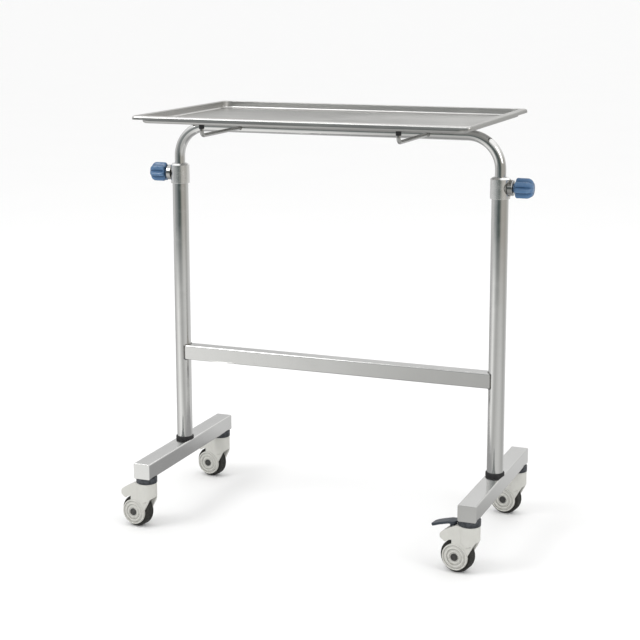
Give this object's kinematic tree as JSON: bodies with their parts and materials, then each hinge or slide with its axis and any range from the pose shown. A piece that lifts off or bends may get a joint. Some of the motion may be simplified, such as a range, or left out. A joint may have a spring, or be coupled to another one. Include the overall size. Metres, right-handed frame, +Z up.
{
  "type": "overbed table",
  "caption": "Wheeled overbed table: a rimmed metal tray on a telescoping tube frame with hand-knob height clamps, a crossbar, box-tube feet and swivel casters with foot brakes.",
  "frame": {"origin": "on the floor under the middle of the table", "axes": "+X along the table's length, towards the user's right; +Y away from the user; +Z up. Casters trail towards -X."},
  "size_m": [0.9608, 0.488, 0.986],
  "materials": {
    "polished_stainless": "mirror-polished stainless steel tube",
    "tray_sheet": "satin stainless steel sheet",
    "black_rubber": "matt moulded rubber",
    "white_nylon": "natural nylon",
    "zinc_plated_steel": "bright zinc plate",
    "bearing_steel": "ground steel",
    "blue_knob": "moulded blue plastic, semi-gloss",
    "caster_plastic": "warm light grey moulded plastic",
    "slate_plastic": "dark slate moulded plastic",
    "tread_rubber": "non-marking dark rubber"
  },
  "bodies": {
    "base": {"left_foot": "polished_stainless", "right_foot": "polished_stainless", "foot_end_plates": "polished_stainless", "left_column": "polished_stainless", "right_column": "polished_stainless", "crossbar": "polished_stainless", "column_base_rings": "black_rubber", "left_collar": "polished_stainless", "right_collar": "polished_stainless", "left_guide_bush": "white_nylon", "right_guide_bush": "white_nylon", "left_clamp_boss": "polished_stainless", "right_clamp_boss": "polished_stainless", "stem_sockets": "zinc_plated_steel", "caster_stems": "zinc_plated_steel", "caster_seal_rings": "slate_plastic", "swivel_races": "zinc_plated_steel", "swivel_balls": "bearing_steel"},
    "sliding_frame": {"u_frame": "polished_stainless", "leg_glides": "white_nylon", "left_support_rod": "polished_stainless", "right_support_rod": "polished_stainless", "rod_tip_caps": "black_rubber"},
    "tray": {"tray": "tray_sheet"},
    "left_pad": {"left_clamp_pad": "white_nylon"},
    "left_knob": {"left_clamp_screw": "zinc_plated_steel", "left_knob": "blue_knob"},
    "right_pad": {"right_clamp_pad": "white_nylon"},
    "right_knob": {"right_clamp_screw": "zinc_plated_steel", "right_knob": "blue_knob"},
    "front_left_caster": {"front_left_housing": "caster_plastic", "front_left_axle": "zinc_plated_steel", "front_left_hub_caps": "slate_plastic"},
    "front_left_wheel": {"front_left_wheel_core": "caster_plastic", "front_left_tread": "tread_rubber", "front_left_wheel_bearings": "bearing_steel"},
    "front_right_caster": {"front_right_housing": "caster_plastic", "front_right_axle": "zinc_plated_steel", "front_right_hub_caps": "slate_plastic", "front_right_brake_pin": "zinc_plated_steel"},
    "front_right_wheel": {"front_right_wheel_core": "caster_plastic", "front_right_tread": "tread_rubber", "front_right_wheel_bearings": "bearing_steel"},
    "front_right_pedal": {"front_right_brake_pedal": "slate_plastic"},
    "rear_left_caster": {"rear_left_housing": "caster_plastic", "rear_left_axle": "zinc_plated_steel", "rear_left_hub_caps": "slate_plastic", "rear_left_brake_pin": "zinc_plated_steel"},
    "rear_left_wheel": {"rear_left_wheel_core": "caster_plastic", "rear_left_tread": "tread_rubber", "rear_left_wheel_bearings": "bearing_steel"},
    "rear_left_pedal": {"rear_left_brake_pedal": "slate_plastic"},
    "rear_right_caster": {"rear_right_housing": "caster_plastic", "rear_right_axle": "zinc_plated_steel", "rear_right_hub_caps": "slate_plastic"},
    "rear_right_wheel": {"rear_right_wheel_core": "caster_plastic", "rear_right_tread": "tread_rubber", "rear_right_wheel_bearings": "bearing_steel"}
  },
  "joints": [
    {"name": "height_slide", "type": "slide", "parent": "base", "child": "sliding_frame", "axis": [0, 0, 1], "range_m": [0, 0.3]},
    {"name": "tray_lift", "type": "slide", "parent": "sliding_frame", "child": "tray", "axis": [0, 0, 1], "range_m": [0, 0.15]},
    {"name": "left_clamp_travel", "type": "slide", "parent": "base", "child": "left_pad", "axis": [-1, 0, 0], "range_m": [0, 0.0019]},
    {"name": "left_knob_turn", "type": "hinge", "parent": "left_pad", "child": "left_knob", "pos_m": [-0.398, 0, 0.829], "axis": [-1, 0, 0], "range_deg": [0, 540]},
    {"name": "right_clamp_travel", "type": "slide", "parent": "base", "child": "right_pad", "axis": [1, 0, 0], "range_m": [0, 0.0019]},
    {"name": "right_knob_turn", "type": "hinge", "parent": "right_pad", "child": "right_knob", "pos_m": [0.398, 0, 0.829], "axis": [1, 0, 0], "range_deg": [0, 540]},
    {"name": "front_left_swivel", "type": "hinge", "parent": "base", "child": "front_left_caster", "pos_m": [-0.398, -0.205, 0.11], "axis": [0, 0, 1], "continuous": true},
    {"name": "front_left_roll", "type": "hinge", "parent": "front_left_caster", "child": "front_left_wheel", "pos_m": [-0.42474, -0.20124, 0.0375], "axis": [0.1392, 0.9903, 0], "continuous": true},
    {"name": "front_right_swivel", "type": "hinge", "parent": "base", "child": "front_right_caster", "pos_m": [0.398, -0.205, 0.11], "axis": [0, 0, 1], "continuous": true},
    {"name": "front_right_roll", "type": "hinge", "parent": "front_right_caster", "child": "front_right_wheel", "pos_m": [0.37126, -0.20124, 0.0375], "axis": [0.1392, 0.9903, 0], "continuous": true},
    {"name": "front_right_brake_press", "type": "hinge", "parent": "front_right_caster", "child": "front_right_pedal", "pos_m": [0.36037, -0.19971, 0.097], "axis": [-0.1392, -0.9903, 0], "range_deg": [0, 14]},
    {"name": "rear_left_swivel", "type": "hinge", "parent": "base", "child": "rear_left_caster", "pos_m": [-0.398, 0.205, 0.11], "axis": [0, 0, 1], "continuous": true},
    {"name": "rear_left_roll", "type": "hinge", "parent": "rear_left_caster", "child": "rear_left_wheel", "pos_m": [-0.42474, 0.20876, 0.0375], "axis": [0.1392, 0.9903, 0], "continuous": true},
    {"name": "rear_left_brake_press", "type": "hinge", "parent": "rear_left_caster", "child": "rear_left_pedal", "pos_m": [-0.43563, 0.21029, 0.097], "axis": [-0.1392, -0.9903, 0], "range_deg": [0, 14]},
    {"name": "rear_right_swivel", "type": "hinge", "parent": "base", "child": "rear_right_caster", "pos_m": [0.398, 0.205, 0.11], "axis": [0, 0, 1], "continuous": true},
    {"name": "rear_right_roll", "type": "hinge", "parent": "rear_right_caster", "child": "rear_right_wheel", "pos_m": [0.37126, 0.20876, 0.0375], "axis": [0.1392, 0.9903, 0], "continuous": true}
  ],
  "couplings": [
    {"joint": "left_clamp_travel", "follows": "left_knob_turn", "m_per_rad": 0.00019894},
    {"joint": "right_clamp_travel", "follows": "right_knob_turn", "m_per_rad": 0.00019894}
  ]
}
